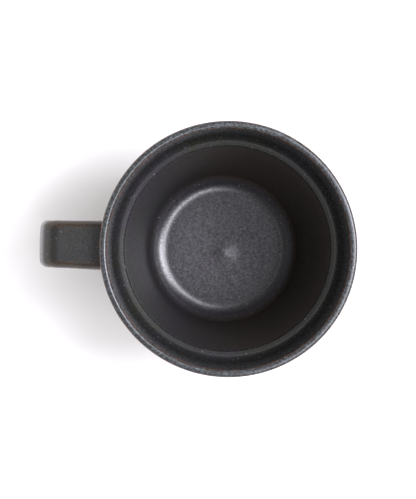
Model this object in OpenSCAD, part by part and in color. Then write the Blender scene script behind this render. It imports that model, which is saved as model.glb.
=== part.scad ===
// Stoneware mug: a tapered, footed cup with a wider collar under its lip and a squared strap handle.
// Millimetres, +Z up. The origin is on the cup's axis, in the plane that the foot ring stands on.
// The handle points along -X. Sizes marked "glazed" are taken over the glaze, the others on bare clay.

/* [Cup] */
// Outside diameter of the lip, glazed
lip_d = 95; // [80:0.5:120]
// Height from the foot ring to the top of the lip, glazed
cup_h = 92; // [80:0.5:115]
// Outside diameter of the heel, where the wall turns in to the foot, glazed
heel_d = 70; // [58:0.5:86]
// Height of the collar, from the lip down to its lower edge, glazed
collar_h = 20.5; // [14:0.5:26]
// How far the collar draws in from the lip to its lower edge
collar_draft = 0.9; // [0:0.1:2]
// How far the body stands in from the collar
step_in = 2; // [1:0.1:3]
// Height of the step between collar and body
step_drop = 3.5; // [2.5:0.1:5]

/* [Walls] */
// Thickness of the lip
lip_t = 1.6; // [1.5:0.1:3]
// Thickness of the collar at its lower edge
collar_t = 2.4; // [2:0.1:4]
// Thickness of the body's wall under the collar
wall_t = 3.6; // [3:0.1:5.5]
// Thickness of the body's wall level with the floor
base_t = 4.3; // [3.5:0.1:6.5]
// Thickness of the floor, over the recess in the foot
floor_t = 6.6; // [4.5:0.1:9]
// Height of the ledge inside, from its cove down to its edge
ledge_drop = 3.2; // [2.2:0.1:4.5]

/* [Foot] */
// Height of the bare foot ring
foot_h = 3.4; // [2.4:0.1:5]
// Width of the foot ring
foot_w = 3.4; // [2.6:0.1:6]
// How far the foot ring stands in from the heel
foot_in = 2.2; // [1.5:0.1:4]
// Height of the slope from the foot ring up to the heel
heel_rise = 3.4; // [2.5:0.1:5]
// Depth of the recess inside the foot ring
recess_h = 3; // [2:0.1:4]

/* [Rounding] */
// Radius where the floor meets the wall
floor_fillet = 7.4; // [4:0.1:10]
// Radius on the edge of the ledge
ledge_round = 0.8; // [0.4:0.1:1.2]
// Radius of the cove above the ledge
cove_fillet = 5.4; // [3:0.1:7]
// Radius on the inner shoulder of the lip
lip_in_round = 0.6; // [0.4:0.1:0.7]
// Radius on the outer shoulder of the lip
lip_out_round = 0.8; // [0.4:0.1:0.8]
// Radius on the collar's lower edge
collar_round = 2.2; // [1:0.1:2.6]
// Radius in the step, where it meets the body
step_fillet = 2.8; // [1.5:0.1:3.2]
// Radius on the heel
heel_round = 2; // [1:0.1:3]
// Radius on the foot ring's edges
foot_round = 0.8; // [0.4:0.1:1.2]

/* [Handle] */
// How far the handle stands out from the lip, glazed
handle_out = 25.3; // [20:0.1:32]
// How far the handle's top lies under the lip, glazed
handle_drop = 12.5; // [10.5:0.1:13]
// Height of the handle's underside over the foot, glazed
handle_foot_h = 20; // [12:0.5:28]
// Width of the strap
handle_w = 17; // [13:0.5:24]
// Thickness of the strap
handle_t = 6; // [4.5:0.1:7.5]
// Radius on the strap's long edges
strap_round = 2; // [1:0.1:2.2]
// Radius of the corners on the finger side
finger_r = 2.8; // [1.5:0.1:6]

/* [Slip joints] */
// Thickness of the slip between the handle's ends and the cup
slip_t = 0.6; // [0.5:0.1:1]
// How far the slip laps round the strap
slip_lap = 1; // [0.6:0.1:1.4]
// How far the slip climbs out along the strap
slip_h = 1.8; // [1.2:0.1:3]

/* [Glaze] */
// Thickness of the glaze
glaze_t = 0.4; // [0.25:0.05:0.6]
// Height of the rim's own band of glaze
rim_band = 3; // [2:0.1:5]
// How far the dipped coat stops above the foot ring
glaze_line_up = 0.8; // [0.4:0.1:1.6]
// Bare edge that is left round the coat in the foot's recess
base_gap = 1.5; // [1:0.1:4]

/* [Hidden] */

CLAY = "#b9a184";
SLIP = "#a38c73";
LINER = "#3b3b40";
RIM = "#5c6466";
COAT = "#38373a";

// Most degrees that one facet of a rounded corner turns through
arc_step = 12;
$fn = 48;

// Heights of the cup's outline, on bare clay
lip_z = cup_h - glaze_t;
collar_z = cup_h - collar_h;
step_z = collar_z - step_drop;
ledge_z = collar_z - ledge_drop;
floor_z = recess_h + floor_t;
heel_z = foot_h + heel_rise;

// Radii of the cup's outline, on bare clay
lip_r = lip_d / 2 - glaze_t;
collar_r = lip_r - collar_draft;
body_r = collar_r - step_in;
heel_r = heel_d / 2 - glaze_t;
foot_r = heel_r - foot_in;
foot_in_r = foot_r - foot_w;
lip_in_r = lip_r - lip_t;
cove_r = collar_r - collar_t;
ledge_r = body_r - wall_t;
floor_r = heel_r - base_t;

// The outline's points are [radius, height, corner radius]. They run from the middle of the floor up the
// inside, over the lip and down the outside, and each stretch ends on a straight run, where one coat of
// glaze meets the next.
rim_in = point_at_height([cove_r, collar_z], [lip_in_r, lip_z], lip_z - rim_band);
rim_out = point_at_height([collar_r, collar_z], [lip_r, lip_z], lip_z - rim_band);
glaze_end = point_at_height([foot_r, foot_h], [heel_r, heel_z], foot_h + glaze_line_up);
inside_path = [
    [0, floor_z, 0],
    [floor_r, floor_z, floor_fillet],
    [ledge_r, ledge_z, ledge_round],
    [cove_r, collar_z, cove_fillet],
    rim_in
];
rim_path = [
    rim_in,
    [lip_in_r, lip_z, lip_in_round],
    [lip_r, lip_z, lip_out_round],
    rim_out
];
outside_path = [
    rim_out,
    [collar_r, collar_z, collar_round],
    [body_r, step_z, step_fillet],
    [heel_r, heel_z, heel_round],
    glaze_end
];
foot_path = [
    glaze_end,
    [foot_r, foot_h, foot_round],
    [foot_r, 0, foot_round],
    [foot_in_r, 0, foot_round],
    [foot_in_r, recess_h, foot_round],
    [0, recess_h, 0]
];

// The handle is laid out in its own plane: u runs out from the cup's axis, v runs up. Its grip is upright.
bend_r = finger_r + handle_t / 2;
bend_out_r = finger_r + handle_t;
bend_u = lip_d / 2 + handle_out - glaze_t - bend_out_r;
top_bend_v = cup_h - handle_drop - glaze_t - bend_out_r;
low_bend_v = handle_foot_h + glaze_t + bend_out_r;

// Point at one height on the line through a and b, with no corner radius
function point_at_height(a, b, z) =
    let (share = (z - a[1]) / (b[1] - a[1]))
    [a[0] + (b[0] - a[0]) * share, z, 0];

// Unit vector from a to b
function heading(a, b) = (b - a) / norm(b - a);

// A vector turned anticlockwise by an angle
function turned(v, angle) =
    [v[0] * cos(angle) - v[1] * sin(angle), v[0] * sin(angle) + v[1] * cos(angle)];

// A list without its first member
function rest(list) = [for (i = [1:len(list) - 1]) list[i]];

// The radius and height of an outline's point
function plain(point) = [point[0], point[1]];

// The corner points of an outline after it has grown to its left by a distance
function grown(path, grow) =
    let (last = len(path) - 1)
    [for (i = [0:last])
        let (
            before = heading(plain(path[max(i, 1) - 1]), plain(path[max(i, 1)])),
            after = heading(plain(path[min(i, last - 1)]), plain(path[min(i, last - 1) + 1])),
            n0 = turned(before, 90),
            n1 = turned(after, 90)
        )
        plain(path[i]) + grow * (n0 + n1) / (1 + n0 * n1)
    ];

// A rounded corner at b. An inner corner tightens by as much as the outline grows, an outer one widens.
function corner(a, b, c, radius, grow) =
    let (
        before = heading(a, b),
        after = heading(b, c),
        side = sign(before[0] * after[1] - before[1] * after[0]),
        turn = acos(before * after),
        r = radius - grow * side,
        start = b - before * r * tan(turn / 2),
        normal = turned(before, 90),
        steps = ceil(turn / arc_step)
    )
    [for (k = [0:steps]) start + r * side * (normal - turned(normal, side * turn * k / steps))];

// An outline with its corners rounded, grown by a distance
function outline(path, grow = 0) =
    let (points = grown(path, grow), last = len(path) - 1)
    [for (i = [0:last])
        each path[i][2] == 0
            ? [points[i]]
            : corner(points[i - 1], points[i], points[i + 1], path[i][2], grow)
    ];

// A list in the opposite order
function reversed(list) = [for (i = [len(list) - 1:-1:0]) list[i]];

// One coat of glaze over a stretch of the cup's outline
module coat(path) {
    rotate_extrude()
        polygon(concat(outline(path, glaze_t), reversed(outline(path))));
}

// Everything from the axis out to the cup's outside, grown by a distance
module filled_cup(grow) {
    path = outline(outside_path, grow);
    top = path[0];
    bottom = path[len(path) - 1];
    rotate_extrude()
        polygon(concat(path, [[0, bottom[1]], [0, top[1]]]));
}

// Cross-section of the strap, thickness across and width up, grown by a distance
module strap_section(grow) {
    t = handle_t + 2 * grow;
    w = handle_w + 2 * grow;
    r = strap_round + grow;
    square([t - 2 * r, w], center = true);
    square([t, w - 2 * r], center = true);
    for (x = [-1, 1], y = [-1, 1])
        translate([x * (t / 2 - r), y * (w / 2 - r)])
            circle(r);
}

// A straight length of strap along u
module bar(length, grow) {
    rotate([90, 0, 90])
        linear_extrude(length)
            strap_section(grow);
}

// A quarter bend of the strap
module bend(grow) {
    rotate_extrude(angle = 90)
        translate([bend_r, 0])
            strap_section(grow);
}

// The bar that runs from the cup's axis out to the top bend
module top_bar(grow) {
    translate([0, top_bend_v + bend_r, 0])
        bar(bend_u, grow);
}

// The bar that runs from the cup's axis out to the lower bend
module low_bar(grow) {
    translate([0, low_bend_v - bend_r, 0])
        bar(bend_u, grow);
}

// The whole strap in its own plane
module strap(grow) {
    top_bar(grow);
    translate([bend_u, top_bend_v, 0])
        bend(grow);
    translate([bend_u + bend_r, low_bend_v, 0])
        rotate(90)
            bar(top_bend_v - low_bend_v, grow);
    translate([bend_u, low_bend_v, 0])
        rotate(-90)
            bend(grow);
    low_bar(grow);
}

// Stands the handle's plane up on the cup, out along -X
module on_cup() {
    rotate([90, 0, 180])
        children();
}

// The outer shape of both slip joints, grown by a distance
module joint_pads(grow) {
    intersection() {
        on_cup() {
            top_bar(slip_lap + grow);
            low_bar(slip_lap + grow);
        }
        filled_cup(slip_h + grow);
    }
}

// One slip joint, round the bar that is given
module slip_joint() {
    difference() {
        intersection() {
            on_cup()
                children();
            filled_cup(slip_h);
        }
        filled_cup(0);
        bare_handle();
    }
}

// The strap, cut to the cup's outside less the slip
module bare_handle() {
    difference() {
        on_cup()
            strap(0);
        filled_cup(slip_t);
    }
}

// The pressed and turned cup: floor, foot ring, tapered wall, collar and lip
module cup_body() {
    color(CLAY)
        rotate_extrude()
            polygon(outline(concat(inside_path, rest(rim_path), rest(outside_path), rest(foot_path))));
}

// The cast strap handle
module handle() {
    color(CLAY)
        bare_handle();
}

// Slip under and round the top bar's end, on the collar
module upper_slip_joint() {
    color(SLIP)
        slip_joint()
            top_bar(slip_lap);
}

// Slip under and round the lower bar's end, on the tapered wall
module lower_slip_joint() {
    color(SLIP)
        slip_joint()
            low_bar(slip_lap);
}

// The liner coat, poured in and out
module inside_glaze() {
    color(LINER)
        coat(inside_path);
}

// The band over the lip, where the liner and the dipped coat meet
module rim_glaze() {
    color(RIM)
        coat(rim_path);
}

// The dipped coat, open where the slip joints stand
module outside_glaze() {
    color(COAT)
        difference() {
            coat(outside_path);
            on_cup() {
                top_bar(slip_lap);
                low_bar(slip_lap);
            }
        }
}

// The coat on the handle and over its slip joints
module handle_glaze() {
    color(COAT)
        difference() {
            union() {
                on_cup()
                    strap(glaze_t);
                joint_pads(glaze_t);
            }
            on_cup()
                strap(0);
            joint_pads(0);
            filled_cup(glaze_t);
        }
}

// The coat in the recess, inside the bare foot ring
module base_glaze() {
    color(LINER)
        translate([0, 0, recess_h - glaze_t])
            cylinder(r = foot_in_r - base_gap, h = glaze_t);
}

cup_body();
handle();
upper_slip_joint();
lower_slip_joint();
inside_glaze();
rim_glaze();
outside_glaze();
handle_glaze();
base_glaze();
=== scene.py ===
"""Stoneware mug with a footed cup, a wider collar under its lip and a squared strap handle.

Every CAD node is replaced by a piece with the softened, hand-made shape of the real one. The pieces are
the ones that a potter makes: the turned clay cup, the cast strap, two slip joints, and the coats of glaze
over them. Sizes are in millimetres and turn to metres where a mesh is made. +Z is up and the handle points
along -X.
"""

import logging
import math
from collections.abc import Sequence
from dataclasses import dataclass, field
from enum import Enum

import bmesh
import bpy
import numpy as np
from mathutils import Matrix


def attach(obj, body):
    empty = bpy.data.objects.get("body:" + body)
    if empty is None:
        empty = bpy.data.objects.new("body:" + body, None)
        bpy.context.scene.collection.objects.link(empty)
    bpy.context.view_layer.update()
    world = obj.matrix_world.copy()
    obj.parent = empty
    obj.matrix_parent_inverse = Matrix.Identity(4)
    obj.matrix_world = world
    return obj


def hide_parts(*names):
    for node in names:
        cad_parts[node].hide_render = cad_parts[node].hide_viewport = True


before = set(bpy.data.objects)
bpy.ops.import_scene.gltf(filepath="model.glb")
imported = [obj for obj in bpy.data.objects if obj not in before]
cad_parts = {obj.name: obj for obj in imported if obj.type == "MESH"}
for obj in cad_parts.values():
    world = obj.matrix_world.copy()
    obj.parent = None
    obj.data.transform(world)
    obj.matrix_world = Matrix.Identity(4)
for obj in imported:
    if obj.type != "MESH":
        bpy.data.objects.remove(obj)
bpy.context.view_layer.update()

LOG = logging.getLogger("mug")
MM = 0.001
BODY = "root"
# Most degrees that one facet of a rounded corner turns through, and of a flare on to the cup
ARC_STEP = 5.0
FLARE_STEP = 9
# Radius under which a row of points is one point on the axis, mm
POLE_R = 1e-6
# Sizes of the rows that close a sweep's end, as shares of its last row
CAP_SHARES = (0.35, 0.7, 0.95)
# Angle between faces over which an edge shows sharp, degrees
SHARP_ANGLE = 50.0
# Mesh attributes that say where on the cup a point lies, from 0 to 1
PLACES = ("lip", "deep", "floor", "brown", "crystals")


class Slot(Enum):
    """Material slots of the record."""

    CLAY = "clay"
    SLIP = "slip"
    LINER = "liner_glaze"
    RIM = "rim_glaze"
    COAT = "coat_glaze"


class Root(Enum):
    """The two ends of the handle."""

    UPPER = "upper"
    LOWER = "lower"


def linear(colour: str) -> tuple[float, float, float, float]:
    """Turns an sRGB hex colour to the linear values that a shader takes.

    Args:
        colour: hex colour such as "#2a2a2a".

    Returns:
        Red, green, blue and an alpha of 1.
    """
    parts = [int(colour[i : i + 2], 16) / 255 for i in (1, 3, 5)]
    red, green, blue = (p / 12.92 if p <= 0.04045 else ((p + 0.055) / 1.055) ** 2.4 for p in parts)
    return red, green, blue, 1.0


def per_metre(size: float) -> float:
    """Texture scale that gives features of a size in mm."""
    return 1 / (size * MM)


def smooth(value: np.ndarray | float, low: float, high: float) -> np.ndarray:
    """Soft step from 0 at low to 1 at high.

    Args:
        value: number or array to step.
        low: value that gives 0.
        high: value that gives 1.

    Returns:
        The stepped values.
    """
    t = np.clip((np.asarray(value, dtype=float) - low) / (high - low), 0, 1)
    return t * t * (3 - 2 * t)


def add(
    tree: bpy.types.NodeTree,
    kind: str,
    inputs: dict | None = None,
    **settings: object,
) -> bpy.types.Node:
    """Adds one shader node with its settings and links.

    Args:
        tree: node tree that the node goes into.
        kind: Blender's name of the node, without "ShaderNode".
        inputs: value, or output socket to link from, for each input's name or number.
        settings: the node's own properties.

    Returns:
        The node.
    """
    made = tree.nodes.new("ShaderNode" + kind)
    for name, value in settings.items():
        setattr(made, name, value)
    for key, value in (inputs or {}).items():
        if isinstance(value, bpy.types.NodeSocket):
            tree.links.new(value, made.inputs[key])
        else:
            made.inputs[key].default_value = value
    return made


def fresh(name: str) -> tuple[bpy.types.Material, bpy.types.NodeTree]:
    """Makes an empty node-based material.

    Args:
        name: the material's name.

    Returns:
        The material and its node tree.
    """
    material = bpy.data.materials.new(name)
    material.use_nodes = True
    material.node_tree.nodes.clear()
    return material, material.node_tree


def skin(
    name: str,
    rows: Sequence[np.ndarray],
    traits: dict[str, Sequence[np.ndarray]],
    closed: bool = False,
) -> bpy.types.Object:
    """Joins rows of points into one smooth-shaded mesh.

    Args:
        name: the object's name.
        rows: arrays of shape (n, 3), in mm. A row of one point is a pole.
        traits: for each named trait, one array of values for each row.
        closed: whether the last row joins the first.

    Returns:
        The object, linked to the scene.
    """
    starts = np.concatenate([[0], np.cumsum([len(row) for row in rows])])
    faces = []
    pairs = [(i, i + 1) for i in range(len(rows) - 1)]
    if closed:
        pairs.append((len(rows) - 1, 0))
    for i, j in pairs:
        count = max(len(rows[i]), len(rows[j]))
        step = 0 if len(rows[i]) == 1 else 1
        jump = 0 if len(rows[j]) == 1 else 1
        for k in range(count):
            after = (k + 1) % count
            corners = [
                starts[i] + k * step,
                starts[i] + after * step,
                starts[j] + after * jump,
                starts[j] + k * jump,
            ]
            faces.append(list(dict.fromkeys(int(c) for c in corners)))
    mesh = bpy.data.meshes.new(name)
    mesh.from_pydata((np.concatenate(rows) * MM).tolist(), [], faces)
    for trait, values in traits.items():
        layer = mesh.attributes.new(trait, "FLOAT", "POINT")
        layer.data.foreach_set("value", np.concatenate(values).astype(np.float32))
    work = bmesh.new()
    work.from_mesh(mesh)
    bmesh.ops.recalc_face_normals(work, faces=work.faces)
    work.to_mesh(mesh)
    work.free()
    mesh.shade_smooth()
    mesh.set_sharp_from_angle(angle=math.radians(SHARP_ANGLE))
    piece = bpy.data.objects.new(name, mesh)
    bpy.context.scene.collection.objects.link(piece)
    return piece


def settle(piece: bpy.types.Object, material: bpy.types.Material, slot: Slot, *nodes: str) -> None:
    """Dresses a piece and gives it its place in the frame.

    Args:
        piece: the piece.
        material: its finish.
        slot: the record's material slot. Not used.
        nodes: CAD nodes that it stands for.
    """
    piece.data.materials.append(material)
    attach(piece, BODY)
    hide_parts(*nodes)
    LOG.info("%s: %d faces, stands for %s", piece.name, len(piece.data.polygons), ", ".join(nodes))


# ------------------------------------------------------------------------------------ the cup's form


@dataclass(frozen=True)
class Corner:
    """One corner of the cup's outline, on bare clay.

    Attributes:
        r: radius in mm.
        z: height in mm.
        round: radius of the round on the corner.
        wear: how thin the glaze runs over it, from 0 to 1.
    """

    r: float
    z: float
    round: float = 0.0
    wear: float = 0.0


@dataclass(frozen=True)
class HandForm:
    """How far the cup strays from a true turned shape. Clay and glaze stray together, and never outwards.

    Attributes:
        oval: how much narrower the lip is one way than the other, as a share.
        wave: depth of the waves round the wall at the lip, mm.
        lip_dip: how far the lip dips at its lowest, mm. It shows over dip_from.
        ring: depth of the throwing rings on the wall, mm.
        ringed: heights between which the rings come in, and between which they go, mm.
        under_z: height over which a row is the cup's, not the foot's, mm.
        bowl_r: radius within which a row at the floor's height is the inside's, mm.
        bowl_flare: how much that radius grows for each mm up.
        shift: how far the floor's centre is off the lip's, mm. It fades out between shift_heights.
        dish: depth of the dish in the floor, mm.
        dish_top: height over which a row isn't the floor's, mm.
        tool_ring: depth of the turning rings in the dish, mm.
        nub_h: height of the nub that the tool leaves, mm, with a spread of nub_w.
        glint_core: spread of the pale spot on the nub, which is a painted highlight, mm.
        haze_reach: spread of the crystals that drifted off it to haze_drift_to, mm.
        haze_thin: share of crystals everywhere. glint_share adds the painted highlight on the nub, and
            haze_drift adds crystals off it.
    """

    height: float
    floor_z: float
    oval: float = 0.006
    oval_heading: float = 4.0
    wave: float = 0.06
    lip_dip: float = 0.10
    dip_from: float = 60.0
    ring: float = 0.012
    ring_pitch: float = 5.6
    ringed: tuple[float, float, float, float] = (14.0, 22.0, 60.0, 66.0)
    under_z: float = 6.0
    bowl_r: float = 33.0
    bowl_flare: float = 0.16
    shift: tuple[float, float] = (-1.1, -0.4)
    shift_heights: tuple[float, float] = (11.0, 42.0)
    dish: float = 0.8
    dish_r: float = 30.0
    dish_top: float = 20.0
    tool_ring: float = 0.006
    tool_pitch: float = 4.6
    nub_h: float = 0.26
    nub_w: float = 2.5
    nub_at: tuple[float, float] = (1.0, -2.1)
    glint_core: float = 2.0
    haze_reach: float = 9.0
    haze_drift_to: tuple[float, float] = (4.0, -5.0)
    haze_thin: float = 0.01
    glint_share: float = 0.55
    haze_drift: float = 0.10

    def radius(self, r: np.ndarray | float, z: np.ndarray | float, theta: np.ndarray) -> np.ndarray:
        """Gives the strayed radius of a point.

        Args:
            r: true radius, mm.
            z: height, mm.
            theta: heading round the cup, radians.

        Returns:
            The radius, mm.
        """
        up = smooth(z, 0, self.height)
        squash = self.oval * (np.cos(2 * (theta - math.radians(self.oval_heading))) - 1) / 2
        wave = np.sin(3 * theta + 0.9 + z / 27) + 0.6 * np.sin(5 * theta + 2.1 - z / 19) - 1.6
        ring_in, ring_full, ring_fade, ring_out = self.ringed
        wall = smooth(z, ring_in, ring_full) * (1 - smooth(z, ring_fade, ring_out))
        ring = np.sin(2 * math.pi * z / self.ring_pitch + theta + 0.6 * np.sin(2 * theta + 0.4)) - 1
        return r * (1 + up * squash) + up * self.wave * wave / 2 + wall * self.ring * ring

    def placed(self, r: float, z: float, theta: np.ndarray) -> np.ndarray:
        """Places one row of points round the cup.

        Args:
            r: true radius, mm.
            z: height, mm.
            theta: headings of the points, radians.

        Returns:
            Array of shape (n, 3), mm.
        """
        away = self.radius(r, z, theta)
        x, y = away * np.cos(theta), away * np.sin(theta)
        if z > self.under_z and r < self.bowl_r + self.bowl_flare * (z - self.floor_z):
            low = float(1 - smooth(z, *self.shift_heights))
            x, y = x + self.shift[0] * low, y + self.shift[1] * low
        dip = self.lip_dip * (1 - np.cos(2 * theta + 1.0)) / 2 * smooth(z, self.dip_from, self.height)
        height = z - dip
        if self.under_z < z < self.dish_top and r < self.dish_r:
            inward = max(0.0, 1 - (r / self.dish_r) ** 2) ** 2
            off = (x - self.nub_at[0]) ** 2 + (y - self.nub_at[1]) ** 2
            nub = self.nub_h * np.exp(-off / (2 * self.nub_w**2))
            ripple = self.tool_ring * np.sin(2 * math.pi * r / self.tool_pitch + theta) * inward
            height = height - self.dish * inward + nub + ripple
        return np.stack([x, y, height + 0 * x], axis=1)

    def crystals_and_glint(self, row: np.ndarray) -> np.ndarray:
        """Share of pale crystals over a row of points on the floor, with a painted highlight as a dense
        spot on the nub.

        Args:
            row: points, mm, of shape (n, 3).

        Returns:
            Shares from 0 to 1, one per point.
        """
        x, y = row[:, 0] - self.nub_at[0], row[:, 1] - self.nub_at[1]
        # The dense pale spot on the nub is a painted highlight
        glint_spot = np.exp(-(x**2 + y**2) / self.glint_core**2)
        drift_x, drift_y = self.haze_drift_to
        drift = np.exp(-((x - drift_x) ** 2 + (y - drift_y) ** 2) / self.haze_reach**2)
        return self.haze_thin + self.glint_share * glint_spot + self.haze_drift * drift


def left_of(run: np.ndarray) -> np.ndarray:
    """Unit vector to the left of a run."""
    return np.array((-run[1], run[0]))


def traced(corners: Sequence[Corner], grow: float, spacing: float) -> np.ndarray:
    """Follows an outline round its rounded corners.

    Args:
        corners: the outline's corners. Its ends are plain points.
        grow: how far it grows to its left, mm.
        spacing: distance between points on straight runs, mm.

    Returns:
        Array of shape (n, 2): radius and height of each point, mm.
    """
    points = [np.array((c.r, c.z)) for c in corners]
    last = len(points) - 1
    runs = [(points[i + 1] - points[i]) / np.hypot(*(points[i + 1] - points[i])) for i in range(last)]
    moved = []
    for i, point in enumerate(points):
        before, after = left_of(runs[max(i - 1, 0)]), left_of(runs[min(i, last - 1)])
        moved.append(point + grow * (before + after) / (1 + before @ after))
    line = [moved[0]]
    for i in range(1, last + 1):
        arc = [moved[i]]
        if i < last and corners[i].round:
            before, after = runs[i - 1], runs[i]
            turn = math.atan2(before[0] * after[1] - before[1] * after[0], before @ after)
            side = math.copysign(1, turn)
            radius = corners[i].round - grow * side
            start = moved[i] - before * radius * math.tan(abs(turn) / 2)
            centre = start + left_of(before) * side * radius
            spoke = start - centre
            steps = max(3, math.ceil(math.degrees(abs(turn)) / ARC_STEP))
            turns = [turn * k / steps for k in range(steps + 1)]
            arc = [
                centre + spoke * math.cos(t) + left_of(spoke) * math.sin(t)
                for t in turns
            ]
        here = line[-1]
        parts = max(1, round(np.hypot(*(arc[0] - here)) / spacing))
        line.extend(here + (arc[0] - here) * k / parts for k in range(1, parts))
        line.extend(arc)
    return np.array(line)


def at_height(a: Corner, b: Corner, z: float) -> Corner:
    """Plain point at one height on the line through two corners."""
    return Corner(a.r + (b.r - a.r) * (z - a.z) / (b.z - a.z), z)


@dataclass(frozen=True)
class CupForm:
    """Sizes of the cup, on bare clay, and the outlines that follow from them.

    A name that ends in _r is a radius from the axis, in _z a height, and in _round the radius of the round
    on that corner. The glaze lies pooled under pooled_z and has drained off the wall over drained_z.
    """

    glaze: float = 0.4
    lip_r: float = 47.1
    lip_z: float = 91.6
    lip_in_r: float = 45.15
    lip_in_round: float = 0.7
    lip_out_round: float = 0.8
    collar_r: float = 46.2
    collar_z: float = 71.5
    collar_round: float = 2.2
    body_r: float = 44.2
    step_z: float = 68.0
    step_round: float = 2.8
    heel_r: float = 34.6
    heel_z: float = 6.8
    heel_round: float = 2.0
    foot_r: float = 32.4
    foot_z: float = 3.4
    foot_in_r: float = 29.0
    foot_round: float = 0.8
    recess_z: float = 3.0
    floor_r: float = 26.4
    floor_z: float = 9.6
    floor_round: float = 11.0
    toe_r: float = 31.6
    toe_z: float = 12.2
    toe_round: float = 4.0
    ledge_r: float = 40.1
    ledge_z: float = 69.3
    ledge_round: float = 0.9
    cove_r: float = 43.8
    cove_z: float = 71.2
    cove_round: float = 6.2
    seam_z: float = 88.6
    glaze_end_z: float = 4.2
    pooled_z: float = 10.4
    drained_z: float = 13.0
    segments: int = 360

    @property
    def hand(self) -> HandForm:
        """The straying that clay and coats share."""
        return HandForm(self.lip_z, self.floor_z)

    @property
    def inside(self) -> list[Corner]:
        """Floor, wall, ledge and cove, from the axis up to the rim's band."""
        lip = Corner(self.lip_in_r, self.lip_z)
        cove = Corner(self.cove_r, self.cove_z, self.cove_round)
        return [
            Corner(0, self.floor_z),
            Corner(self.floor_r, self.floor_z, self.floor_round),
            Corner(self.toe_r, self.toe_z, self.toe_round),
            Corner(self.ledge_r, self.ledge_z, self.ledge_round),
            cove,
            at_height(cove, lip, self.seam_z),
        ]

    @property
    def rim(self) -> list[Corner]:
        """Up the inside of the lip, over it and down the outside."""
        lip_in = Corner(self.lip_in_r, self.lip_z, self.lip_in_round)
        lip_out = Corner(self.lip_r, self.lip_z, self.lip_out_round)
        return [
            at_height(Corner(self.cove_r, self.cove_z), lip_in, self.seam_z),
            lip_in,
            lip_out,
            at_height(Corner(self.collar_r, self.collar_z), lip_out, self.seam_z),
        ]

    @property
    def outside(self) -> list[Corner]:
        """Collar, step, tapered wall and heel, down to the glaze line."""
        heel = Corner(self.heel_r, self.heel_z, self.heel_round, wear=0.5)
        foot = Corner(self.foot_r, self.foot_z)
        return [
            self.rim[-1],
            Corner(self.collar_r, self.collar_z, self.collar_round, wear=0.7),
            Corner(self.body_r, self.step_z, self.step_round),
            heel,
            at_height(foot, heel, self.glaze_end_z),
        ]

    @property
    def foot(self) -> list[Corner]:
        """Bare foot ring and recess, from the glaze line in to the axis."""
        out, into = self.foot_r, self.foot_in_r
        ring = ((out, self.foot_z), (out, 0), (into, 0), (into, self.recess_z))
        return [
            self.outside[-1],
            *(Corner(r, z, self.foot_round) for r, z in ring),
            Corner(0, self.recess_z),
        ]

    @property
    def worn(self) -> list[Corner]:
        """Places where the glaze runs thin: inside the lip, its outer edge, the collar and the heel."""
        inner = Corner(self.lip_in_r - 0.3, self.lip_z - 0.6, wear=1.0)
        outer = Corner(self.lip_r + 0.4, self.lip_z - 0.2, wear=0.9)
        return [inner, outer, *(corner for corner in self.outside if corner.wear)]

    def traits(self, r: np.ndarray, z: np.ndarray) -> dict[str, np.ndarray]:
        """Says where on the cup each point of an outline lies.

        Args:
            r: radii of the points, mm.
            z: their heights, mm.

        Returns:
            For each trait one value for each point, from 0 to 1: thin where the glaze breaks over an edge,
            lip towards the lip, deep on the wall inside, and floor where the glaze pooled.
        """
        thin = np.zeros(len(r))
        for corner in self.worn:
            reach = (1 + corner.round) / 2
            away = np.hypot(r - corner.r, z - corner.z)
            thin = np.maximum(thin, corner.wear * np.exp(-((away / reach) ** 2)))
        inner = r < self.lip_in_r
        drained = smooth(z, self.pooled_z, self.drained_z)
        return {
            "thin": thin,
            "lip": smooth(z, self.ledge_z + 4, self.lip_z - 4),
            "deep": inner * drained * (1 - smooth(z, self.ledge_z - 2, self.ledge_z)),
            "floor": inner * (1 - drained) * (z > self.hand.under_z),
        }

    def outer_radius(self, z: np.ndarray, theta: np.ndarray, grow: float) -> np.ndarray:
        """Gives the cup's outside at some heights and headings.

        Args:
            z: heights, mm.
            theta: headings, radians.
            grow: 0 for the clay, or the coat's thickness.

        Returns:
            Radii, mm.
        """
        line = traced(self.outside, grow, 1.0)[::-1]
        return self.hand.radius(np.interp(z, line[:, 1], line[:, 0]), z, theta)


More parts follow.
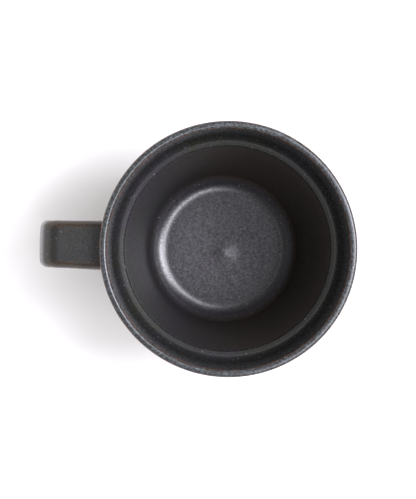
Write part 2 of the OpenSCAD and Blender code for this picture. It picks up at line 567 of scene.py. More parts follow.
@dataclass
class Cup:
    """The clay cup and the four coats of glaze on it.

    Attributes:
        shaded_wall_heading: heading of the inner wall that is turned from the key light, degrees. There the
        painted shade brown is strongest. Its share falls to shaded_wall_least, by the lit wall at the
        handle, where the cosine of the angle from there falls through shaded_wall_span.
        face_step: distance between rows on a coat's face, mm. The back can't be seen and is coarser.
        base_in: how far the base's coat ends short of the foot ring, mm. It is thin over base_fade, mm, and
            its edge wanders by base_wander, as a share.
    """

    form: CupForm
    clay: bpy.types.Material
    liner: bpy.types.Material
    rim: bpy.types.Material
    coat: bpy.types.Material
    shaded_wall_heading: float = 10.0
    shaded_wall_least: float = 0.1
    shaded_wall_span: tuple[float, float] = (-0.7, 0.3)
    face_step: float = 0.6
    back_step: float = 1.5
    clay_step: float = 0.8
    base_in: float = 1.5
    base_fade: float = 2.5
    base_wander: float = 0.012
    made: list[bpy.types.Object] = field(default_factory=list)

    def headings(self) -> np.ndarray:
        """Headings of the points in one row."""
        return np.linspace(0, 2 * math.pi, self.form.segments, endpoint=False)

    def turned(self, name: str, line: np.ndarray, closed: bool) -> bpy.types.Object:
        """Turns an outline round the cup's axis.

        Args:
            name: the piece's name.
            line: radius and height of the outline's points, mm.
            closed: whether the outline is a loop.

        Returns:
            The piece.
        """
        form, theta = self.form, self.headings()
        rows = []
        for r, z in line:
            row = form.hand.placed(r, z, theta)
            rows.append(row[:1] if r < POLE_R else row)
        along = form.traits(line[:, 0], line[:, 1])
        traits = {
            key: [np.full(len(row), value) for row, value in zip(rows, values)]
            for key, values in along.items()
        }
        # Painted light and shade: the inner wall turned from the key light is painted a paler warm brown,
        # which stands in for its dim look in shade, and the lit wall by the handle keeps the darker plum
        facing = np.cos(theta - math.radians(self.shaded_wall_heading))
        brown = self.shaded_wall_least + (1 - self.shaded_wall_least) * smooth(facing, *self.shaded_wall_span)
        traits["brown"] = [value * brown[: len(row)] for row, value in zip(rows, along["deep"])]
        # Pale crystals on the floor, with a painted highlight where they crowd on the nub
        traits["crystals"] = [value * form.hand.crystals_and_glint(row) for row, value in zip(rows, along["floor"])]
        piece = skin(name, rows, traits, closed)
        self.made.append(piece)
        return piece

    def shell(self, name: str, corners: Sequence[Corner], closed: bool) -> bpy.types.Object:
        """Makes one coat as a closed shell with the clay's surface for its back.

        Args:
            name: the piece's name.
            corners: the stretch of outline that it covers.
            closed: False where the stretch starts on the axis.

        Returns:
            The piece.
        """
        face = traced(corners, self.form.glaze, self.face_step)
        back = traced(corners, 0.0, self.back_step)[::-1]
        return self.turned(name, np.concatenate([face, back]), closed)

    def make_clay(self) -> None:
        """Makes the turned cup with its bare foot ring."""
        form = self.form
        corners = [*form.inside, *form.rim[1:], *form.outside[1:], *form.foot[1:]]
        piece = self.turned("turned_cup", traced(corners, 0.0, self.clay_step), closed=False)
        settle(piece, self.clay, Slot.CLAY, "cup_body")

    def make_coats(self) -> None:
        """Makes the liner, the rim's band and the dipped coat."""
        form = self.form
        settle(self.shell("liner_coat", form.inside, False), self.liner, Slot.LINER, "inside_glaze")
        settle(self.shell("rim_band", form.rim, True), self.rim, Slot.RIM, "rim_glaze")
        settle(self.shell("dipped_coat", form.outside, True), self.coat, Slot.COAT, "outside_glaze")

    def make_base(self) -> None:
        """Makes the coat in the foot's recess, with a soft wavering edge."""
        form, theta = self.form, self.headings()
        edge = form.foot_in_r - self.base_in
        thick, high = form.glaze, form.recess_z
        soft = [
            (edge - thick + thick * math.sin(a), high - thick * math.cos(a))
            for a in np.linspace(0, math.pi / 2, 7)
        ]
        face = [(r, high - thick) for r in np.linspace(0, edge - thick, 30)[:-1]]
        back = [(r, high) for r in np.linspace(edge - 1, 0, 12)]
        line = [*face, *soft, *back]
        wave = 1 + 0.5 * np.sin(3 * theta + 0.5) + 0.5 * np.sin(7 * theta)
        wander = 1 - self.base_wander * wave
        rows = []
        for r, z in line:
            row = np.stack([r * wander * np.cos(theta), r * wander * np.sin(theta), z + 0 * theta], axis=1)
            rows.append(row[:1] if r < POLE_R else row)
        traits = {key: [np.zeros(len(row)) for row in rows] for key in PLACES}
        traits["thin"] = [
            np.full(len(row), 0.8 * float(smooth(r, edge - self.base_fade, edge)))
            for row, (r, _) in zip(rows, line)
        ]
        piece = skin("base_coat", rows, traits)
        self.made.append(piece)
        settle(piece, self.liner, Slot.LINER, "base_glaze")

    def build(self) -> list[bpy.types.Object]:
        """Makes every piece of the cup.

        Returns:
            The pieces.
        """
        self.make_clay()
        self.make_coats()
        self.make_base()
        return self.made


# --------------------------------------------------------------------------------- the handle's form


@dataclass(frozen=True)
class Section:
    """Cross-section of the strap: a rectangle with rounded long edges and slightly crowned faces.

    Attributes:
        crown: how far the faces fall from their middle to their edges, mm.
        fade: distance from an edge over which the glaze thickens, mm.
        across: parts in a wide face. A narrow face has through parts, and a round bend parts.
    """

    thick: float
    wide: float
    round: float
    crown: float = 0.35
    fade: float = 1.1
    across: int = 14
    through: int = 3
    bend: int = 9

    def points(self) -> tuple[np.ndarray, np.ndarray, np.ndarray]:
        """Lays out the section.

        Returns:
            Points (n, 2) as thickness and width, their outward normals, and how near each is to an edge.
        """
        a, b, r = self.thick / 2 - self.round, self.wide / 2 - self.round, self.round
        points, normals, edges = [], [], []
        quarters = ((a, b, 0), (-a, b, 90), (-a, -b, 180), (a, -b, 270))
        for i, (x, w, heading) in enumerate(quarters):
            for k in range(self.bend + 1):
                angle = math.radians(heading + 90 * k / self.bend)
                normal = np.array((math.cos(angle), math.sin(angle)))
                points.append(np.array((x, w)) + r * normal)
                normals.append(normal)
                edges.append((math.sin(math.pi * k / self.bend) + 1) / 2)
            x1, w1, _ = quarters[(i + 1) % 4]
            outward = normals[-1]
            parts = self.across if i % 2 else self.through
            for k in range(1, parts):
                share = k / parts
                points.append(np.array((x + (x1 - x) * share, w + (w1 - w) * share)) + r * outward)
                normals.append(outward)
                from_edge = min(share, 1 - share) * math.hypot(x1 - x, w1 - w)
                edges.append(0.5 * math.exp(-((from_edge / self.fade) ** 2)))
        laid = np.array(points)
        fall = self.crown * (laid[:, 1] / (self.wide / 2)) ** 2
        laid[:, 0] -= np.sign(laid[:, 0]) * fall * np.minimum(1, np.abs(laid[:, 0]) / (self.thick / 2))
        return laid, np.array(normals), np.array(edges)


@dataclass(frozen=True)
class Flare:
    """How a root spreads on to the cup: its width to each side and its reach outwards, mm."""

    side: float = 0.0
    out: float = 0.0

    def spread(self, away: float) -> float:
        """Says how far the root spreads to each side.

        Args:
            away: distance from the cup, mm.

        Returns:
            The spread, mm.
        """
        if away >= self.out or self.out == 0:
            return 0.0
        share = min(1.0, (self.out - away) / self.out)
        return self.side * (1 - math.sqrt(1 - share**2))

    def steps(self, first: int = 0) -> list[float]:
        """Distances from the cup for rows that follow the flare's curve, mm, from one step's angle on."""
        return [self.out * (1 - math.cos(math.radians(a))) for a in range(first, 91, FLARE_STEP)]


@dataclass(frozen=True)
class HandleForm:
    """Sizes of the strap, on bare clay, and the line that it follows.

    Places are given as u, out from the cup's axis, and v, up.

    Attributes:
        wide_low: how much wider its lower end is, mm.
        taper_u: distance from the axis at which it starts to narrow, mm.
        knuckle_r: radius of the tight turn at the end of the top bar, mm, through knuckle_turn degrees.
        shoulder_r: radius of the long shoulder after it, mm.
        slip: thickness of the slip between strap and cup, mm.
        grip_step: distance between rows on the grip, mm, and bar_step on a bar.
        uneven: how much the width wavers, as a share.
    """

    cup: CupForm
    out_u: float = 72.4
    top_v: float = 79.1
    low_v: float = 20.4
    thick: float = 6.0
    wide_root: float = 18.0
    wide_end: float = 17.1
    wide_low: float = 0.3
    taper_u: float = 44.0
    round: float = 2.3
    knuckle_r: float = 4.4
    knuckle_turn: float = 68.0
    shoulder_r: float = 26.0
    low_bend_r: float = 7.6
    slip: float = 0.6
    grip_step: float = 1.2
    bar_step: float = 1.0
    bend_steps: int = 24
    uneven: float = 0.003

    def bar_v(self, root: Root) -> float:
        """Height of a bar's middle, mm."""
        half = self.thick / 2
        return self.top_v - half if root is Root.UPPER else self.low_v + half

    def start_u(self, root: Root, lift: float) -> float:
        """Distance from the axis at which a bar meets the cup, mm, for a growth of the cup's surface."""
        return float(self.cup.outer_radius(np.array(self.bar_v(root)), np.array(math.pi), lift))

    def bend_u(self, root: Root) -> float:
        """Says where a bar starts to bend into the grip.

        Args:
            root: the bar's end of the handle.

        Returns:
            Distance from the axis, mm.
        """
        mid_u = self.out_u - self.thick / 2
        if root is Root.LOWER:
            return mid_u - self.low_bend_r
        turned = math.sin(math.radians(self.knuckle_turn))
        return mid_u - self.knuckle_r * turned - self.shoulder_r * (1 - turned)

    def width(self, u: float, v: float) -> float:
        """Gives the strap's width at a place on its line.

        Args:
            u: distance from the axis, mm.
            v: height, mm.

        Returns:
            The width, mm.
        """
        share = float(smooth(u, self.taper_u, self.out_u - self.thick))
        low = float(1 - smooth(v, self.low_v, self.top_v))
        return self.wide_root + (self.wide_end - self.wide_root) * share + self.wide_low * low

    def root_row(self, root: Root, grow: float, away: float, flare: Flare, lift: float) -> tuple:
        """Lays one row of points round a straight end, following the cup's surface.

        Args:
            root: which end of the handle.
            grow: growth of the section over bare clay.
            away: distance from the cup's surface, mm.
            flare: how the end spreads on to the cup.
            lift: growth of the cup's surface over bare clay.

        Returns:
            The row (n, 3) and how near each point is to a long edge.
        """
        v, start = self.bar_v(root), self.start_u(root, lift)
        reach = self.bend_u(root) - start
        width = self.width(start + away, v)
        shape = Section(self.thick + 2 * grow, width + 2 * grow, self.round + grow)
        laid, normals, edges = shape.points()
        laid = laid + normals * flare.spread(away)
        height = v + laid[:, 0] * (1 if root is Root.UPPER else -1)
        side = laid[:, 1]
        theta = math.pi - np.arcsin(np.clip(side / start, -1, 1))
        surface = np.sqrt(self.cup.outer_radius(height, theta, lift) ** 2 - side**2)
        fade = (1 - min(1.0, max(0.0, away) / reach)) ** 2
        u = start + away + (surface - start) * fade
        return np.stack([-u, side, height], axis=1), edges

    def line(self) -> list[tuple[float, float, float]]:
        """Centre line from the top bar's end round to the low bar's end.

        Returns:
            For each station: u out from the axis, v up, and the heading of travel in degrees.
        """
        steps, grip_u = self.bend_steps, self.out_u - self.thick / 2
        u, v, heading = self.bend_u(Root.UPPER), self.bar_v(Root.UPPER), 0.0
        stations = [(u, v, heading)]
        # The strap turns tightly over its knuckle and eases through a long shoulder into the upright grip
        turns = ((self.knuckle_r, self.knuckle_turn), (self.shoulder_r, 90 - self.knuckle_turn))
        for radius, turn in turns:
            for _ in range(steps):
                half = math.radians(heading - turn / steps / 2)
                chord = 2 * radius * math.sin(math.radians(turn / steps / 2))
                u, v = u + chord * math.cos(half), v + chord * math.sin(half)
                heading -= turn / steps
                stations.append((u, v, heading))
        low_u, low_v, bend = self.bend_u(Root.LOWER), self.bar_v(Root.LOWER), self.low_bend_r
        straight = v - low_v - bend
        count = round(straight / self.grip_step)
        stations.extend((grip_u, v - straight * k / count, -90.0) for k in range(1, count))
        for k in range(steps + 1):
            turn = math.radians(90 * k / steps)
            place = (low_u + bend * math.cos(turn), low_v + bend * (1 - math.sin(turn)))
            stations.append((*place, -90 - 90 * k / steps))
        return stations

    def aways(self, flare: Flare, first: float, lift: float, root: Root) -> list[float]:
        """Distances from the cup for the rows of a straight end.

        Args:
            flare: how the end spreads.
            first: distance of the first row.
            lift: growth of the cup's surface.
            root: which end of the handle.

        Returns:
            Distances, mm, close together in the flare.
        """
        reach = self.bend_u(root) - self.start_u(root, lift)
        near = flare.steps(FLARE_STEP) if flare.out else []
        gap = self.bar_step
        far = np.arange(max(flare.out, first) + 0.8 * gap, reach - 0.6 * gap, gap)
        return [first, *(n for n in near if n > first + 0.02), *far]

    def sweep(self, grow: float, flare: Flare, first: float, lift: float) -> tuple[list, list]:
        """Sweeps the section from the upper root round to the lower root.

        Args:
            grow: growth of the section over bare clay.
            flare: how the roots spread.
            first: distance of the end rows from the cup.
            lift: growth of the cup's surface over bare clay.

        Returns:
            The rows, and for each how near its points are to a long edge.
        """
        laid_rows = [
            self.root_row(Root.UPPER, grow, away, flare, lift)
            for away in self.aways(flare, first, lift, Root.UPPER)
        ]
        for i, (u, v, heading) in enumerate(self.line()):
            ripple = 1 + self.uneven * math.sin(i * 0.37)
            wide = (self.width(u, v) + 2 * grow) * ripple
            shape = Section(self.thick + 2 * grow, wide, self.round + grow)
            laid, _, edges = shape.points()
            normal = math.radians(heading + 90)
            row = np.stack(
                [-(u + laid[:, 0] * math.cos(normal)), laid[:, 1], v + laid[:, 0] * math.sin(normal)],
                axis=1,
            )
            laid_rows.append((row, edges))
        ends = [
            self.root_row(Root.LOWER, grow, away, flare, lift)
            for away in self.aways(flare, first, lift, Root.LOWER)
        ]
        laid_rows.extend(reversed(ends))
        return [row for row, _ in laid_rows], [edges for _, edges in laid_rows]


def shrunk(row: np.ndarray) -> list[np.ndarray]:
    """Rows that close the end of a sweep, from a pole out to one just inside the last row."""
    centre = row.mean(axis=0, keepdims=True)
    return [centre, *(centre + (row - centre) * share for share in CAP_SHARES)]


@dataclass
class Handle:
    """The cast strap, its two slip joints and the coat over them.

    Attributes:
        flare: how the wiped slip spreads on to the cup, and coat_flare how the coat over it does.
        sunk: how far the coat's edge reaches into the cup's coat, mm.
    """

    form: HandleForm
    clay: bpy.types.Material
    slip: bpy.types.Material
    coat: bpy.types.Material
    flare: Flare = Flare(1.0, 1.9)
    coat_flare: Flare = Flare(1.1, 2.2)
    sunk: float = 0.05
    made: list[bpy.types.Object] = field(default_factory=list)

    def finish(self, name: str, rows: list, edges: list, closed: bool) -> bpy.types.Object:
        """Makes a mesh of swept rows with the traits that a coat reads.

        Args:
            name: the piece's name.
            rows: rows of points (n, 3), mm.
            edges: for each row, how near its points are to a long edge.
            closed: whether the last row joins the first. If not, both ends are closed with rows that shrink
                to a pole.

        Returns:
            The piece.
        """
        if not closed:
            caps = [shrunk(rows[0]), shrunk(rows[-1])[::-1]]
            bare = [[np.zeros(len(row)) for row in cap] for cap in caps]
            rows = [*caps[0], *rows, *caps[1]]
            edges = [*bare[0], *edges, *bare[1]]
        traits = {key: [np.zeros(len(row)) for row in rows] for key in PLACES}
        piece = skin(name, rows, {"thin": edges, **traits}, closed)
        self.made.append(piece)
        return piece

    def make_strap(self) -> None:
        """Makes the clay strap, cut to the cup less the slip."""
        rows, edges = self.form.sweep(0.0, Flare(), self.form.slip, 0.0)
        settle(self.finish("cast_strap", rows, edges, False), self.clay, Slot.CLAY, "handle")

    def make_joint(self, root: Root) -> None:
        """Makes the slip joint at one root, wiped to a soft fillet.

        Args:
            root: which end of the handle.
        """
        form = self.form
        out = [form.root_row(root, 0.0, away, self.flare, 0.0) for away in self.flare.steps()]
        back = [form.root_row(root, 0.0, away, Flare(), 0.0) for away in (2 * form.slip, form.slip)]
        rows, edges = zip(*out, *back)
        piece = self.finish(f"{root.value}_slip_fillet", rows, edges, False)
        settle(piece, self.slip, Slot.SLIP, f"{root.value}_slip_joint")

    def make_coat(self) -> None:
        """Makes the coat over the strap and its joints as one closed shell."""
        glaze = self.form.cup.glaze
        face, face_edges = self.form.sweep(glaze, self.coat_flare, -self.sunk, glaze)
        back, back_edges = self.form.sweep(0.0, self.flare, 0.0, 0.0)
        piece = self.finish("strap_coat", face + back[::-1], face_edges + back_edges[::-1], True)
        settle(piece, self.coat, Slot.COAT, "handle_glaze")

    def build(self) -> list[bpy.types.Object]:
        """Makes every piece of the handle.

        Returns:
            The pieces.
        """
        self.make_strap()
        for root in Root:
            self.make_joint(root)
        self.make_coat()
        return self.made


# --------------------------------------------------------------------------------------- the finishes


# Patterns in the glaze: size in mm, detail, roughness and distortion
GLAZE_NOISES = {
    # Slow drift of the melt
    "drift": (15.0, 3, 0.55, 0.0),
    # Waves in its skin
    "waves": (5.0, 2, 0.5, 0.0),
    # Clouds in which the iron's crystals gather
    "clouds": (3.2, 4, 0.6, 0.0),
    # Wisps of pale crystals over the floor
    "wisps": (2.0, 5, 0.7, 0.4),
    # Pools near the lip, as wide as the dry and wet patches of the skin
    "pools": (1.0, 3, 0.6, 0.0),
    # Crystal grain is about 0.1 mm across and is drawn coarser, so that it shows
    "grain": (0.7, 2, 0.6, 0.0),
}


def mask(
    tree: bpy.types.NodeTree,
    pattern: bpy.types.NodeSocket,
    span: tuple[float, float],
    most: float = 1.0,
    within: bpy.types.NodeSocket | None = None,
    curve: str = "LINEAR",
) -> bpy.types.NodeSocket:
    """Turns a pattern to shares.

    Args:
        tree: the node tree.
        pattern: the pattern.
        span: its values that give 0 and the largest share.
        most: the largest share.
        within: another mask, which the shares are multiplied by.
        curve: Blender's name of the curve between the two.

    Returns:
        The socket that gives the shares.
    """
    low, high = span
    levels = {"Value": pattern, "From Min": low, "From Max": high, "To Max": most}
    share = add(tree, "MapRange", levels, interpolation_type=curve).outputs[0]
    if within is None:
        return share
    return add(tree, "Math", {0: share, 1: within}, operation="MULTIPLY").outputs[0]


@dataclass(frozen=True)
class ReactiveGlaze:
    """Iron-rich satin glaze, poured or dipped, and fired on stoneware.

    The iron comes out of the melt as it cools, so the charcoal drifts to plum and olive over a few
    centimetres, goes blue-green in small pools near the lip and breaks to rust where the coat runs thin
    over an edge.
    """

    name: str
    charcoal: str = "#232324"
    plum: str = "#26242a"
    olive: str = "#23231f"
    # Painted shade: the warm brown laid on the inner wall where it is turned from the key light
    shaded_wall_brown: str = "#3a332d"
    pool: str = "#465054"
    well: str = "#1a181e"
    rust: str = "#33211a"
    speck: str = "#9a9b9e"
    rough_low: float = 0.22
    rough_high: float = 0.32
    rough_drained: float = 0.2
    wave: float = 0.04
    grain: float = 0.01
    pool_share: float = 0.8
    speck_share: float = 0.6
    speck_pitch: float = 1.7

    def colour(
        self,
        tree: bpy.types.NodeTree,
        place: bpy.types.NodeSocket,
        noise: dict[str, bpy.types.NodeSocket],
        where: dict[str, bpy.types.NodeSocket],
    ) -> bpy.types.NodeSocket:
        """Lays the glaze's colours over one another.

        Args:
            tree: the material's node tree.
            place: the socket that gives the place on the piece.
            noise: a socket for each of the glaze's patterns.
            where: a socket for each of the mesh's traits.

        Returns:
            The socket that gives the colour.
        """
        cells = add(tree, "TexVoronoi", {"Vector": place, "Scale": per_metre(self.speck_pitch)})
        picked = add(tree, "SeparateColor", {"Color": cells.outputs["Color"]}).outputs[0]
        uneven = add(
            tree, "MapRange",
            {"Value": noise["clouds"], "From Min": 0.3, "From Max": 0.7, "To Min": 0.3, "To Max": 1.7},
        )
        edge = add(tree, "Math", {0: where["thin"], 1: uneven.outputs[0]}, operation="MULTIPLY").outputs[0]
        soft = "SMOOTHSTEP"
        pools = mask(tree, noise["pools"], (0.44, 0.64), self.pool_share, where["lip"], curve=soft)
        some = mask(tree, picked, (0.4, 0.95))
        layers = (
            (mask(tree, noise["drift"], (0.38, 0.62), curve=soft), self.plum),
            (mask(tree, noise["clouds"], (0.4, 0.62), curve=soft), self.charcoal),
            # Painted shade: warm brown on the inner wall, strongest where it is turned from the key light
            (where["brown"], self.shaded_wall_brown),
            # Blue-green pools towards the lip
            (pools, self.pool),
            # It drained to the floor and lies thick there, where it turns plum
            (where["floor"], self.well),
            # Fine crystals gathered in wisps where it lay thickest, and crowd on the nub into a pale spot
            # that is a painted highlight
            (mask(tree, noise["wisps"], (0.3, 0.7), within=where["crystals"]), self.speck),
            # Pale specks of undissolved ash, not in every cell of the pattern
            (mask(tree, cells.outputs["Distance"], (0.2, 0.06), self.speck_share, some), self.speck),
            # Rust where the coat is thin, with an uneven edge
            (mask(tree, edge, (0.35, 0.8), curve=soft), self.rust),
        )
        colour = linear(self.olive)
        for share, over in layers:
            colour = add(tree, "Mix", {0: share, 6: colour, 7: linear(over)}, data_type="RGBA").outputs[2]
        shade = add(
            tree, "MapRange",
            {"Value": noise["grain"], "From Min": 0.3, "From Max": 0.7, "To Min": 0.72, "To Max": 1.28},
        )
        return add(tree, "VectorMath", {0: colour, 3: shade.outputs[0]}, operation="SCALE").outputs[0]

    def material(self) -> bpy.types.Material:
        """Builds the material.

        Returns:
            The material.
        """
        material, tree = fresh(self.name)
        place = add(tree, "TexCoord").outputs["Object"]
        traits = ("thin", *PLACES)
        where = {key: add(tree, "Attribute", attribute_name=key).outputs["Fac"] for key in traits}
        noise = {}
        for key, (size, detail, roughness, distortion) in GLAZE_NOISES.items():
            looks = {"Detail": detail, "Roughness": roughness, "Distortion": distortion}
            made = add(tree, "TexNoise", {"Vector": place, "Scale": per_metre(size), **looks})
            noise[key] = made.outputs["Fac"]
        levels = {"From Min": 0.35, "From Max": 0.65, "To Min": self.rough_low, "To Max": self.rough_high}
        rough = add(tree, "MapRange", {"Value": noise["pools"], **levels})
        # The wall's coat ran down it, so it is drier and smoother there than where it pooled
        rough = add(
            tree, "Math",
            {0: where["deep"], 1: self.rough_drained, 2: rough.outputs[0]},
            operation="MULTIPLY_ADD",
        )
        calm = add(tree, "MapRange", {"Value": where["deep"], "To Min": 1.0, "To Max": 0.15})
        bumps = {}
        for key, depth in (("waves", self.wave), ("grain", self.grain)):
            relief = {"Height": noise[key], "Strength": calm.outputs[0], "Distance": depth * MM}
            bumps = {"Normal": add(tree, "Bump", {**relief, **bumps}).outputs["Normal"]}
        shader = add(
            tree, "BsdfPrincipled",
            {
                "Base Color": self.colour(tree, place, noise, where),
                "Roughness": rough.outputs[0],
                "IOR": 1.5,
                **bumps,
            },
        )
        add(tree, "OutputMaterial", {"Surface": shader.outputs[0]})
        return material


@dataclass(frozen=True)
class BareStoneware:
    """Vitrified stoneware, turned leather-hard and left unglazed: dry and buff, toasted brown in patches.

    Iron specks and fine turning lines show all over it.
    """

    name: str
    body: str = "#9a8468"
    toasted: str = "#7c6248"
    iron: str = "#3a2a20"
    patch: float = 9.0
    speck_pitch: float = 1.7
    grain: float = 0.4
    line_pitch: float = 1.6
    line_depth: float = 0.03
    grain_depth: float = 0.05

    def material(self) -> bpy.types.Material:
        """Builds the material.

        Returns:
            The material.
        """
        material, tree = fresh(self.name)
        place = add(tree, "TexCoord").outputs["Object"]
        patches = add(tree, "TexNoise", {"Vector": place, "Scale": per_metre(self.patch), "Detail": 4})
        # Iron specks, about one to each pitch
        cells = add(tree, "TexVoronoi", {"Vector": place, "Scale": per_metre(self.speck_pitch)})
        specks = mask(tree, cells.outputs["Distance"], (0.2, 0.1), 0.8)
        body = linear(self.body)
        for share, over in ((patches.outputs["Fac"], self.toasted), (specks, self.iron)):
            body = add(tree, "Mix", {0: share, 6: body, 7: linear(over)}, data_type="RGBA").outputs[2]
        # Turning lines are about 0.2 mm apart and are drawn wider, so that they show. At a scale of 1 the
        # rings of the pattern are 0.1 pi apart
        scale = 0.1 * math.pi * per_metre(self.line_pitch)
        lines = add(
            tree, "TexWave",
            {"Vector": place, "Scale": scale, "Distortion": 0.6, "Detail": 2},
            wave_type="RINGS",
            rings_direction="Z",
        )
        grain = add(tree, "TexNoise", {"Vector": place, "Scale": per_metre(self.grain), "Detail": 3})
        cut = add(tree, "Bump", {"Height": lines.outputs["Fac"], "Distance": self.line_depth * MM})
        rough = add(
            tree, "Bump",
            {
                "Height": grain.outputs["Fac"],
                "Distance": self.grain_depth * MM,
                "Normal": cut.outputs["Normal"],
            },
        )
        spread = add(tree, "MapRange", {"Value": grain.outputs["Fac"], "To Min": 0.72, "To Max": 0.92})
        shader = add(
            tree, "BsdfPrincipled",
            {
                "Base Color": body,
                "Roughness": spread.outputs[0],
                "IOR": 1.5,
                "Normal": rough.outputs["Normal"],
            },
        )
        add(tree, "OutputMaterial", {"Surface": shader.outputs[0]})
        return material


@dataclass(frozen=True)
class StudioPaper:
    """Matt white background paper with a faint tooth, which keeps its highlights soft."""

    name: str = "background_paper_matt"
    white: str = "#f1f0ef"
    shade: str = "#ecebea"

    def material(self) -> bpy.types.Material:
        """Builds the material.

        Returns:
            The material.
        """
        material, tree = fresh(self.name)
        place = add(tree, "TexCoord").outputs["Object"]
        tooth = add(tree, "TexNoise", {"Vector": place, "Scale": per_metre(60), "Detail": 3})
        body = add(
            tree, "Mix",
            {0: tooth.outputs["Fac"], 6: linear(self.white), 7: linear(self.shade)},
            data_type="RGBA",
        )
        shader = add(tree, "BsdfPrincipled", {"Base Color": body.outputs[2], "Roughness": 0.9, "IOR": 1.3})
        add(tree, "OutputMaterial", {"Surface": shader.outputs[0]})
        return material


# ----------------------------------------------------------------------------------------- the studio


@dataclass(frozen=True)
class Softbox:
    """A flat soft light that faces the mug, in mm, degrees and W.

    Its width lies in the upright plane through the mug, and its height across that plane.
    """

    name: str
    heading: float
    elevation: float
    distance: float
    width: float
    height: float
    power: float
    colour: str = "#ffffff"

    def build(self) -> bpy.types.Object:
        """Hangs the light.

        Returns:
            The light.
        """
        lamp = bpy.data.lights.new(self.name, "AREA")
        lamp.shape = "RECTANGLE"
        lamp.size = self.width * MM
        lamp.size_y = self.height * MM
        lamp.energy = self.power
        lamp.color = linear(self.colour)[:3]
        light = bpy.data.objects.new(self.name, lamp)
        heading, elevation = math.radians(self.heading), math.radians(self.elevation)
        reach = self.distance * MM
        light.location = (
            reach * math.cos(elevation) * math.cos(heading),
            reach * math.cos(elevation) * math.sin(heading),
            reach * math.sin(elevation),
        )
        light.rotation_euler = (0, math.pi / 2 - elevation, heading)
        light.visible_camera = False
        bpy.context.scene.collection.objects.link(light)
        return light


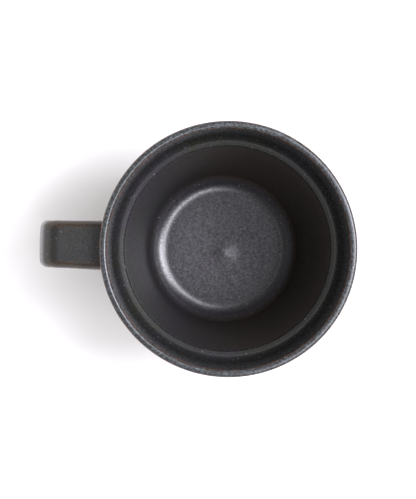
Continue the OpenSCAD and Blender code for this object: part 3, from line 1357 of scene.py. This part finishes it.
@dataclass(frozen=True)
class Studio:
    """Pale floor, soft light and the camera above the mug.

    Attributes:
        room: light from all round. The pale walls add horizon to it, the dim ceiling takes ceiling from it,
            and the broad bounce behind the key light adds bounce.
        horizon_rise: sines of the heights between which the walls' light goes, and ceiling_rise of those
            between which the ceiling's comes in.
        bounce_from: heading and height of the bounce's middle, degrees, with a spread of bounce_spread.
        tilt: how far the camera leans from straight down, degrees.
        roll: how far it is turned about its own line of sight, degrees.
    """

    floor_size: float = 6000.0
    sky: str = "#f9f7f5"
    room: float = 0.5
    horizon: float = 1.25
    horizon_rise: tuple[float, float] = (0.2, 0.6)
    ceiling: float = -0.2
    ceiling_rise: tuple[float, float] = (0.93, 0.99)
    bounce: float = 0.5
    bounce_from: tuple[float, float] = (12.0, 45.0)
    bounce_spread: float = 50.0
    lens: float = 88.9
    eye: tuple[float, float, float] = (-7.66, 3.85, 543.0)
    tilt: float = -0.53
    roll: float = 1.6
    lights: tuple[Softbox, ...] = (
        Softbox("key_softbox", 10.0, 59.0, 1100.0, 260.0, 380.0, 9.6, "#f6f4ff"),
        Softbox("overhead_panel", -3.0, 72.5, 1100.0, 160.0, 600.0, 6.4, "#f6f4ff"),
        Softbox("side_panel_right", -64.0, 70.0, 1100.0, 180.0, 200.0, 2.3, "#f6f4ff"),
        Softbox("side_panel_left", 54.0, 73.0, 1100.0, 180.0, 200.0, 1.9, "#f6f4ff"),
        Softbox("far_strip", 178.0, 76.0, 1100.0, 90.0, 420.0, 0.25),
    )

    def make_floor(self, paper: bpy.types.Material) -> None:
        """Lays the paper out as a fine grid.

        Args:
            paper: the paper's finish.
        """
        mesh = bpy.data.meshes.new("paper_floor")
        work = bmesh.new()
        bmesh.ops.create_grid(work, x_segments=24, y_segments=24, size=self.floor_size * MM / 2)
        work.to_mesh(mesh)
        work.free()
        floor = bpy.data.objects.new("paper_floor", mesh)
        floor.data.materials.append(paper)
        bpy.context.scene.collection.objects.link(floor)

    def make_sky(self) -> None:
        """Fills the room with soft light: pale walls, a dim ceiling and a broad bounce."""
        world = bpy.data.worlds.new("studio_room")
        world.use_nodes = True
        world.node_tree.nodes.clear()
        tree = world.node_tree
        heading = add(tree, "TexCoord").outputs["Generated"]
        turn, lift = (math.radians(angle) for angle in self.bounce_from)
        source = (math.cos(lift) * math.cos(turn), math.cos(lift) * math.sin(turn), math.sin(lift))
        near = add(tree, "VectorMath", {0: heading, 1: source}, operation="DOT_PRODUCT")
        up = add(tree, "SeparateXYZ", {"Vector": heading}).outputs["Z"]
        full = self.room + self.bounce
        spans = (
            (near.outputs["Value"], (math.cos(math.radians(self.bounce_spread)), 1.0), (self.room, full)),
            (up, self.ceiling_rise, (0.0, self.ceiling)),
            (up, self.horizon_rise, (self.horizon, 0.0)),
        )
        parts = []
        for value, (low, high), (first, last) in spans:
            span = {"Value": value, "From Min": low, "From Max": high, "To Min": first, "To Max": last}
            parts.append(add(tree, "MapRange", span, interpolation_type="SMOOTHSTEP").outputs[0])
        level = parts[0]
        for part in parts[1:]:
            level = add(tree, "Math", {0: level, 1: part}, operation="ADD").outputs[0]
        room = add(tree, "Background", {"Color": linear(self.sky), "Strength": level})
        add(tree, "OutputWorld", {"Surface": room.outputs[0]})
        bpy.context.scene.world = world

    def make_camera(self) -> None:
        """Hangs the camera over the mug, looking down."""
        lens = bpy.data.cameras.new("overhead_camera")
        lens.lens = self.lens
        lens.sensor_width = 36.0
        lens.clip_start = 0.01
        lens.clip_end = 50.0
        camera = bpy.data.objects.new("overhead_camera", lens)
        camera.location = tuple(c * MM for c in self.eye)
        camera.rotation_euler = (math.radians(self.tilt), 0, math.radians(self.roll))
        bpy.context.scene.collection.objects.link(camera)
        bpy.context.scene.camera = camera

    def build(self) -> None:
        """Makes the whole studio."""
        self.make_floor(StudioPaper().material())
        self.make_sky()
        for light in self.lights:
            light.build()
        self.make_camera()
        bpy.context.scene.view_settings.view_transform = "Standard"


def report(title: str, pieces: Sequence[bpy.types.Object]) -> None:
    """Logs what a sub-assembly is made of."""
    LOG.info("%s: %s", title, ", ".join(piece.name for piece in pieces))


def main() -> None:
    """Builds the studio, the cup and the handle."""
    logging.basicConfig(level=logging.INFO, format="%(message)s")
    Studio().build()
    clay = BareStoneware("stoneware_turned_bare").material()
    slip = BareStoneware("slip_wiped", body="#8c7659", toasted="#715a41").material()
    liner = ReactiveGlaze(
        "liner_glaze_poured",
        rough_high=0.31,
        pool_share=0.4,
        speck_share=0.45,
    ).material()
    rim = ReactiveGlaze("rim_glaze_fired", rust="#5f3d2a", wave=0.012, pool_share=0.55).material()
    coat = ReactiveGlaze(
        "coat_glaze_dipped",
        charcoal="#1d1d1e",
        plum="#1f1e22",
        olive="#1f1e1a",
        rust="#2d231b",
        rough_low=0.24,
        rough_high=0.33,
        speck_share=0.3,
    ).material()
    form = CupForm()
    report("cup", Cup(form, clay, liner, rim, coat).build())
    report("handle", Handle(HandleForm(form), clay, slip, coat).build())


if __name__ == "__main__":
    main()
